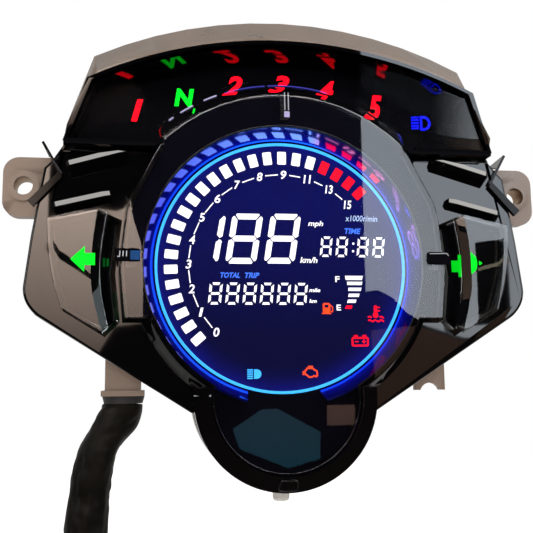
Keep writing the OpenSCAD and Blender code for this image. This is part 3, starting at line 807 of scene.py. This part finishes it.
def telltales(red, orange, cyan):
    z = DIAL_Z
    # coolant: thermometer over two waves, the upper one broken by the bulb
    bulb_x = 38.5
    red.rounded_box(bulb_x, z - 18.0, 1.3, 3.8, 0.5)
    red.disc(bulb_x, z - 20.1, 1.15, count=14)
    for dz in (16.9, 18.3):
        red.stroke((39.1, z - dz), (40.4, z - dz), 0.5)
    for dz, clear in ((21.0, 1.5), (22.4, 0.0)):
        wave = [(35.3 + 0.35 * i, z - dz + 0.35 * math.sin(i * 0.9)) for i in range(20)]
        red.path([p for p in wave if p[0] < bulb_x - clear], 0.6)
        red.path([p for p in wave if p[0] >= bulb_x + clear], 0.6)
    # battery: case, two posts, minus and plus
    red.path([(28.5, z - 29.4), (28.5, z - 32.5), (34.9, z - 32.5), (34.9, z - 29.4), (28.5, z - 29.4)], 0.75)
    for x in (29.9, 33.5):
        red.rounded_box(x, z - 28.7, 1.6, 1.0, 0.2)
    red.stroke((29.5, z - 30.9), (31.0, z - 30.9), 0.5)
    red.stroke((32.5, z - 30.9), (34.0, z - 30.9), 0.5)
    red.stroke((33.25, z - 30.15), (33.25, z - 31.65), 0.5)
    # engine: its outline, filler cap and fan
    outline = [(9.3, -41.5), (12.0, -41.5), (12.5, -42.3), (13.1, -42.3), (13.6, -42.8), (13.6, -44.6),
               (13.0, -44.9), (12.4, -44.4), (11.6, -45.0), (10.2, -45.0), (9.2, -44.0), (8.6, -44.0),
               (8.6, -42.4), (9.3, -42.2), (9.3, -41.5)]
    orange.path([(x, z + dz) for x, dz in outline], 0.62)
    orange.stroke((9.9, z - 40.8), (11.9, z - 40.8), 0.55)
    orange.stroke((10.9, z - 40.8), (10.9, z - 41.6), 0.5)
    orange.stroke((7.9, z - 42.6), (7.9, z - 44.2), 0.5)
    # dipped beam: lamp and five rays
    cyan.disc(-10.9, z - 43.6, 1.85, -90, 90, 16)
    cyan.box(-12.0, z - 45.45, -10.9, z - 41.75)
    for i in range(5):
        dz = -41.95 - 0.83 * i
        cyan.stroke((-14.7, z + dz), (-12.4, z + dz), 0.5)


def make_display():
    white, red, orange, sky, cyan, pale = inks = [
        Ink("display_marks_" + name, finish, slot, FACE_DEPTH) for name, finish, slot in (
            ("white", "lit_white", "led_white"), ("red", "lit_red", "display_navy"),
            ("orange", "lit_orange", "display_navy"), ("blue", "lit_sky", "light_blue"),
            ("cyan", "light_blue", "light_blue"), ("pale", "lit_pale", "led_white"))]
    tachometer(white, red)
    speed_and_clock(white, sky, pale)
    fuel_gauge(white, red, orange)
    telltales(red, orange, cyan)
    for ink in inks:
        ink.done()


def make_well():
    """Funnel wall round the display, open at the neck, and the bright ring at its foot."""
    gap = math.degrees(math.asin(NECK_HALF / FUNNEL_R))
    funnel = [(52.0, 5.5), (55.75, 14.0), (56.6, 14.0), (52.6, 4.6)]
    lathe("dial_well_funnel", funnel, (0, DIAL_Z), "well_wall", -90 + gap, 270 - gap)
    crown = [around(51.05, 5.7, 0.55, 180 - 22.5 * i) for i in range(9)]
    tube = lathe("light_ring_tube", crown + [(51.6, 4.3), (50.5, 4.3)], (0, DIAL_Z), "light_blue",
                 steps=192)
    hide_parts("light_ring")


# ---------- gear window ----------

def make_gear_marks():
    """Gear figures that glow through the legend plate, each split where the pod's crest passes before it."""
    red, green, blue = inks = [
        Ink(name, finish, "printed_black", LEGEND_DEPTH)
        for name, finish in (("gear_marks_red", "gear_red"), ("gear_mark_neutral", "gear_green"),
                             ("gear_mark_high_beam", "gear_blue"))]
    # the crest as the rider sees it against the plate
    seen_r, seen_z = 74.8, -31.4
    for text, left, low, right, high in (("1", -61.5, 26.0, -56.9, 35.2), ("2", -23.3, 38.6, -16.3, 46.8),
                                         ("3", -3.7, 39.8, 3.5, 47.9), ("4", 16.2, 38.2, 22.6, 46.4),
                                         ("5", 37.2, 30.4, 43.2, 40.9)):
        x = (left + right) / 2
        height = seen_z + math.sqrt(seen_r ** 2 - x * x)
        cut = (height, -x / (height - seen_z)) if height > low + 0.4 else None
        red.words(text, left, low, right, high, slant=0.25, bold=0.035, cut=cut)
    green.words("N", -44.2, 33.0, -36.3, 40.5, slant=0.15, bold=0.04)
    green.stroke((-36.6, 30.2), (-36.0, 32.2), 0.7)
    # high beam: lamp and five rays
    blue.band(61.3, 29.5, 2.3, 3.1, -90, 90, 18)
    for corners in ((59.9, 31.8, 61.3, 32.6), (59.9, 26.4, 61.3, 27.2), (59.9, 27.2, 60.7, 31.8)):
        blue.box(*corners)
    for i in range(5):
        blue.stroke((56.0, 31.8 - 1.2 * i), (59.2, 32.0 - 1.2 * i), 0.5)
    for ink in inks:
        ink.done()


def make_gear_ceiling():
    """Polished slope over the legend plate, which mirrors the gear figures."""
    half, steps, arc_r = 74.5, 64, 172
    back_top, front_top, back_depth, front_depth = 51.6, 54.1, 10, 21.6
    rows = []
    for i in range(steps + 1):
        x = -half + 2 * half * i / steps
        fall = arc_r - math.sqrt(arc_r ** 2 - x * x)
        rows.append([place(x, depth, top - fall) for depth, top in (
            (back_depth, back_top), (front_depth, front_top), (back_depth, front_top))])
    make_piece("gear_window_ceiling", skin(rows, caps=True), "ceiling_black", sharp=25)


def make_crest_glints():
    """Painted highlight: a broken bright line of emission along the crest of the pod, where its edge catches
    the marks' light.
    """
    for word, r0, r1, count, spans in (
            ("lilac", 73.5, 74.0, 8, ((127.3, 129.0), (120.0, 124.6), (111.8, 116.2))),
            ("blue", 73.55, 73.9, 16, ((96, 109), (75.5, 95)))):
        ink = Ink("crest_glints_" + word, "glint_" + word, "smoked_lens", CREST_DEPTH, 0.1)
        for start, end in spans:
            ink.band(0, DIAL_Z, r0, r1, start, end, count)
        ink.done()


# ---------- turn signals ----------

def along(points, s):
    """The point at share s of the way along a smooth curve through points, evenly by index."""
    last = len(points) - 1
    i = min(int(s * last), last - 1)
    ends = (points[max(i - 1, 0)], points[i], points[i + 1], points[min(i + 2, last)])
    return curve_point(*[Vector(e) for e in ends], s * last - i)


def make_signal_lens(side, word):
    """A lens with a flat face whose inner side rolls down to the body."""
    rows, steps = 28, 25
    shallow, steep, turn_at, turn_over = 33, 30, 0.36, 0.12
    # the rolled side: a shallow band, a quick turn, then a steep wall down to the foot
    fall = [0.0]
    for k in range(steps):
        turn = min(max(((k + 0.5) / steps - turn_at) / turn_over, 0), 1)
        fall.append(fall[-1] + math.tan(math.radians(shallow + steep * turn)))
    grid = []
    for i in range(rows + 1):
        outer, crease, inner = (along(line, i / rows) for line in (SIGNAL_OUTER, SIGNAL_CREASE, SIGNAL_INNER))
        line = [(outer, SIGNAL_BACK)]
        line += [(outer.lerp(crease, k / 4), SIGNAL_FACE) for k in range(4)]
        line += [(crease.lerp(inner, k / steps), SIGNAL_FACE + (SIGNAL_FOOT - SIGNAL_FACE) * drop / fall[-1])
                 for k, drop in enumerate(fall)]
        line.append((inner, SIGNAL_BACK))
        grid.append([place(side * p.x, depth, p.y) for p, depth in line])
    work = skin(grid, wrapped=False, caps=True)
    # the shell is open at its back, so which way it faces is checked on its front
    middle = place(side * 82, SIGNAL_FACE, -34)
    face = min(work.faces, key=lambda f: (f.calc_center_median() - middle).length)
    if face.normal.y > 0:
        bmesh.ops.reverse_faces(work, faces=work.faces)
    count = len(grid[0])
    rim = [work.edges.get((work.verts[i * count + 1], work.verts[(i + 1) * count + 1])) for i in range(rows)]
    for cap in [f for f in work.faces if len(f.verts) > 4]:
        rim += [e for e in cap.edges if max(v.co.y for v in e.verts) < -(SIGNAL_BACK + 0.1) * MM]
    bmesh.ops.bevel(work, geom=rim, offset=0.8 * MM, segments=3, profile=0.5, affect="EDGES",
                    clamp_overlap=True)
    obj = make_piece("signal_lens_" + word + "_rolled", work, "signal_lens", sharp=17, weighted=True)
    wall = obj.modifiers.new("wall", "SOLIDIFY")
    wall.thickness = 1.6 * MM
    wall.offset = -1.0
    obj.modifiers.move(1, 0)
    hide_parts("signal_lens_" + word)


def make_arrow(side, word):
    """Green turn arrow at the lens, with a dim second image of its tail in the rolled wall: a painted
    reflection, drawn as lit marks.

    From the rider's place the right-hand one is broken up by the lens's crease.
    """
    front = Ink("turn_arrow_" + word, "lit_green", "printed_black", SIGNAL_FACE + 0.02, 0.06)
    # painted reflection: the arrow's second image, drawn as lit green marks just in front of the arrow plates
    ghost = Ink("turn_arrow_painted_reflection_" + word, "painted_reflection_green" if side < 0 else "lit_green", "printed_black",
                ARROW_DEPTH)
    if side < 0:
        shapes = [[(-83.0, 0), (-77.8, 4.9), (-77.8, 2.3), (-73.9, 2.3), (-73.9, -2.3), (-77.8, -2.3),
                   (-77.8, -4.9)]]
        ghosts = ((-71.5, -1.8, -70.6, 1.8), (-70.1, -1.5, -69.2, 1.5))
    else:
        shapes = [[(75.3, 4.6), (76.6, 3.2), (77.4, 2.6), (77.9, 0), (77.4, -2.6), (76.6, -3.4),
                   (75.3, -4.6)], [(78.7, 0.9), (80.0, 0), (78.7, -0.9)]]
        ghosts = ((73.1, -4.6, 74.5, 4.6), (70.2, -2.6, 73.2, 2.2))
    for outline in shapes:
        front.shape([(x, ARROW_Z + y) for x, y in outline])
    for left, low, right, high in ghosts:
        ghost.box(left, ARROW_Z + low, right, ARROW_Z + high)
    front.done()
    ghost.done()


# ---------- small front features ----------

def make_pin_marks():
    """Black index pins that stand on the lens, with painted highlights on their edges and painted blue glow
    on their ends.
    """
    on_pin = 18.66
    plate = Ink("index_pin_blocks", "printed_black", "satin_black", 17.9, 0.75)
    # painted highlights on the pin edges and painted blue glow on the pin ends
    silver = Ink("index_pin_edge_highlights", "glint_silver", "satin_black", on_pin, 0.06)
    teal = Ink("index_pin_end_glow", "glint_teal", "satin_black", on_pin, 0.06)
    for side, _ in SIDES:
        plate.rounded_box(side * 61.8, -30.4, 9.6, 5.0, 0.8)
    teal.rounded_box(-58.9, -30.5, 3.6, 3.6, 0.4)
    for x in (62.2, 63.5):
        silver.stroke((-x, -31.0), (-x + 0.1, -28.9), 0.4)
    silver.path([(-64.6, -28.9), (-64.8, -31.2), (-65.6, -31.0)], 0.35)
    silver.path([(58.0, -28.6), (65.2, -28.4), (65.8, -29.4)], 0.25)
    # painted highlights on the top pin's edges and painted glow on its end
    top = Ink("index_pin_top_edge_highlights", "glint_silver", "satin_black", 16.1, 0.15)
    for x in (0.2, 1.7):
        top.stroke((x, 30.2), (x - 0.1, 37.6), 0.35)
    end = Ink("index_pin_top_end_glow", "glint_lilac", "satin_black", 16.1, 0.15)
    end.rounded_box(1.0, 28.4, 2.2, 2.4, 0.3)
    for ink in (silver, teal, plate, top, end):
        ink.done()


def make_ear_bushes():
    """A drawn metal sleeve in each ear's hole, which runs on behind the ear."""
    profile = [(3.72, 0.9), (3.95, 1.35), (4.9, 1.35), (5.1, 1.1), (5.1, -8.4), (4.8, -8.8), (4.0, -8.8),
               (3.72, -8.5)]
    for side, word in SIDES:
        lathe("ear_bush_" + word, profile, (side * 104, 0), "bush_bronze", steps=48, sharp=40)


def make_eye_slot():
    """Small raised frame round the slot at the foot of the eye's rim."""
    # the rim slopes from depth 18 at radius 29.7 down to depth 13 at radius 36.2
    slot_r, rim_r, rim_depth, slope = 33.1, 29.7, 18, 5 / 6.5
    rings = []
    for grow, lift in ((0.0, -0.6), (0.0, 0.35), (0.14, 0.5), (0.42, 0.5), (0.56, 0.35), (0.56, -0.6)):
        ring = []
        for u, v in rounded_outline(6.4, 3.8, 0.9, 4):
            k = 1 + grow / math.hypot(u, v)
            radius = slot_r - v * k
            depth = rim_depth - (radius - rim_r) * slope
            ring.append(place(-0.3 + u * k, depth + lift, EYE_Z - radius))
        rings.append(ring)
    make_piece("eye_slot_frame", skin(rings, closed=True), "gloss_black", sharp=50)


def finish_inner_nodes():
    """Gives every CAD node that stays its own procedural finish."""
    for name, obj in nodes.items():
        obj.data.materials.clear()
        obj.data.materials.append(FINISH[SLOT_OF[name]])
    nodes["dial_face"].data.materials[0] = FINISH["display_film"]
    nodes["dial_well"].data.materials[0] = FINISH["well_black"]


# ---------- studio ----------

def make_floor():
    work = bmesh.new()
    bmesh.ops.create_circle(work, cap_ends=True, cap_tris=False, segments=96, radius=3.0,
                            matrix=Matrix.Translation((0, 0.3, -0.42)))
    mesh = bpy.data.meshes.new("floor")
    work.to_mesh(mesh)
    work.free()
    n = Nodes("pale_floor")
    mesh.materials.append(n.principled({
        "Base Color": n.mix(n.noise(400.0), (0.88, 0.88, 0.87, 1), (0.93, 0.93, 0.92, 1)),
        "Roughness": 0.7,
        "Emission Color": (1, 1, 1, 1),
        "Emission Strength": 0.72,
    }))
    floor = bpy.data.objects.new("floor", mesh)
    scene.collection.objects.link(floor)
    floor.visible_glossy = False


def make_world():
    """White all round to the eye; what the gloss mirrors is a dim warm room in front and white behind."""
    n = Nodes("studio", world=True)
    _, away, up = n.axes()
    room = n.mix(n.ramp(up, -0.7, 0.2), (0.035, 0.024, 0.018, 1), (0.018, 0.017, 0.020, 1))
    lofty = n.mix(n.ramp(up, 0.45, 0.7), room, (0.55, 0.54, 0.53, 1))
    mirrored = n.mix(n.ramp(away, 0.02, 0.45), lofty, (0.75, 0.74, 0.72, 1))
    paths = n.add("ShaderNodeLightPath")
    back = n.add("ShaderNodeBackground")
    n.set(back, "Color", n.mix(paths.outputs["Is Camera Ray"], mirrored, (1, 1, 1, 1)))
    scene.world = n.finish(back.outputs[0])


def make_card(name, y, strength, top, foot, outline):
    """A bright card in front of the object, of (x, z) corners in millimetres, that its gloss mirrors."""
    mesh = bpy.data.meshes.new(name)
    mesh.from_pydata([(x * MM, y * MM, z * MM) for x, z in outline], [], [list(range(len(outline)))])
    heights = [z * MM for _, z in outline]
    n = Nodes(name)
    light = n.add("ShaderNodeEmission")
    n.set(light, "Color", n.mix(n.ramp(n.axes()[2], min(heights), max(heights)), rgba(foot), rgba(top)))
    n.set(light, "Strength", strength)
    mesh.materials.append(n.finish(light.outputs[0]))
    card = bpy.data.objects.new(name, mesh)
    scene.collection.objects.link(card)
    card.visible_camera = False
    card.visible_diffuse = False
    return card


def make_light(name, at, aim, size, power, color):
    """An area light; places and sizes are in metres."""
    data = bpy.data.lights.new(name, "AREA")
    data.shape = "RECTANGLE"
    data.size, data.size_y = size
    data.energy = power
    data.color = color
    light = bpy.data.objects.new(name, data)
    scene.collection.objects.link(light)
    light.location = at
    light.rotation_euler = (Vector(aim) - Vector(at)).to_track_quat("-Z", "Y").to_euler()
    light.visible_camera = False
    return light


def make_lights():
    dark, olive = (0.02, 0.02, 0.02), (0.9, 0.8, 0.6)
    wall_y, near_y, nearest_y = -618, -612, -608
    make_card("cool_card", wall_y, 5.4, (0.75, 0.85, 1.0), (0.74, 0.80, 0.86), [
        (195, 520), (195, 24), (210, 26), (228, 17), (243, 0), (262, -12), (320, -30), (430, -34), (430, 60),
        (540, 90), (540, 520)])
    make_card("warm_card", wall_y, 8.6, (1.0, 0.79, 0.66), (0.13, 0.095, 0.08), [
        (-66, -12), (-66, 31), (-69, 79), (-77, 103), (-83, 132), (-90, 122), (-98, 119), (-117, 121),
        (-146, 118), (-176, 110), (-177, 190), (-330, 190), (-330, -70), (-125, -62), (-98, -16)])
    make_card("streak_card", near_y, 1.0, dark, dark, [
        (-176, 79), (-150, 62), (-122, 40), (-124, 35), (-152, 54), (-176, 69)])
    make_card("dark_card", near_y, 1.0, dark, dark, [(331, 84), (380, 90), (380, -12), (331, -16)])
    make_card("brown_line_card", nearest_y, 2.2, olive, olive, [(331, 52), (380, 66), (380, 61), (331, 48)])
    make_card("low_brown_card", wall_y, 0.8, (0.62, 0.36, 0.26), (0.30, 0.22, 0.14), [
        (200, -22), (262, -16), (320, -34), (620, -44), (620, -260), (215, -260)])
    make_card("teal_card", wall_y, 0.85, (0.25, 0.55, 0.80), (0.12, 0.55, 0.80), [
        (36, -133), (69, -112), (87, -111), (137, -138), (136, -168), (99, -178), (43, -155)])
    for side, word in SIDES:
        make_card("edge_strip_" + word, -330, 11.0, (0.92, 0.96, 1.0), (0.7, 0.72, 0.75), [
            (side * 680, -65), (side * 900, -65), (side * 900, 260), (side * 680, 260)])
    make_card("left_brown_card", wall_y, 0.75, (1.0, 0.66, 0.5), (0.6, 0.4, 0.3), [
        (-600, -60), (-340, -60), (-340, 190), (-600, 190)])
    make_card("brown_card", wall_y, 1.0, (1.0, 0.58, 0.47), (0.8, 0.5, 0.4), [
        (145, -108), (178, -108), (178, -131), (145, -131)])
    # the overhead card is drawn upright and then laid flat, 0.76 m above and in front
    overhead = make_card("overhead_card", -760, 8.0, (1, 0.97, 0.93), (0.97, 0.95, 0.93), [
        (-900, -980), (1000, -980), (1000, -230), (-900, -230)])
    overhead.rotation_euler.x = math.radians(-90)
    front = make_light("front", (-0.25, -1.3, 0.25), (0, 0, 0), (1.0, 0.8), 13.0, (1.0, 0.95, 0.91))
    front.visible_glossy = False
    make_light("top", (-0.1, -0.35, 0.9), (0, 0, 0), (0.9, 0.5), 1.6, (1.0, 0.97, 0.94))
    make_light("side", (0.9, -0.4, 0.5), (0.05, 0, 0.05), (0.5, 0.7), 1.6, (0.8, 0.95, 1.0))


make_camera()
make_world()
make_lights()
make_floor()
finish_inner_nodes()
make_harness()
make_display()
make_well()
make_gear_marks()
make_gear_ceiling()
make_crest_glints()
for side, word in SIDES:
    make_signal_lens(side, word)
    make_arrow(side, word)
make_pin_marks()
make_ear_bushes()
make_eye_slot()
make_shells()

scene.view_settings.view_transform = "Standard"
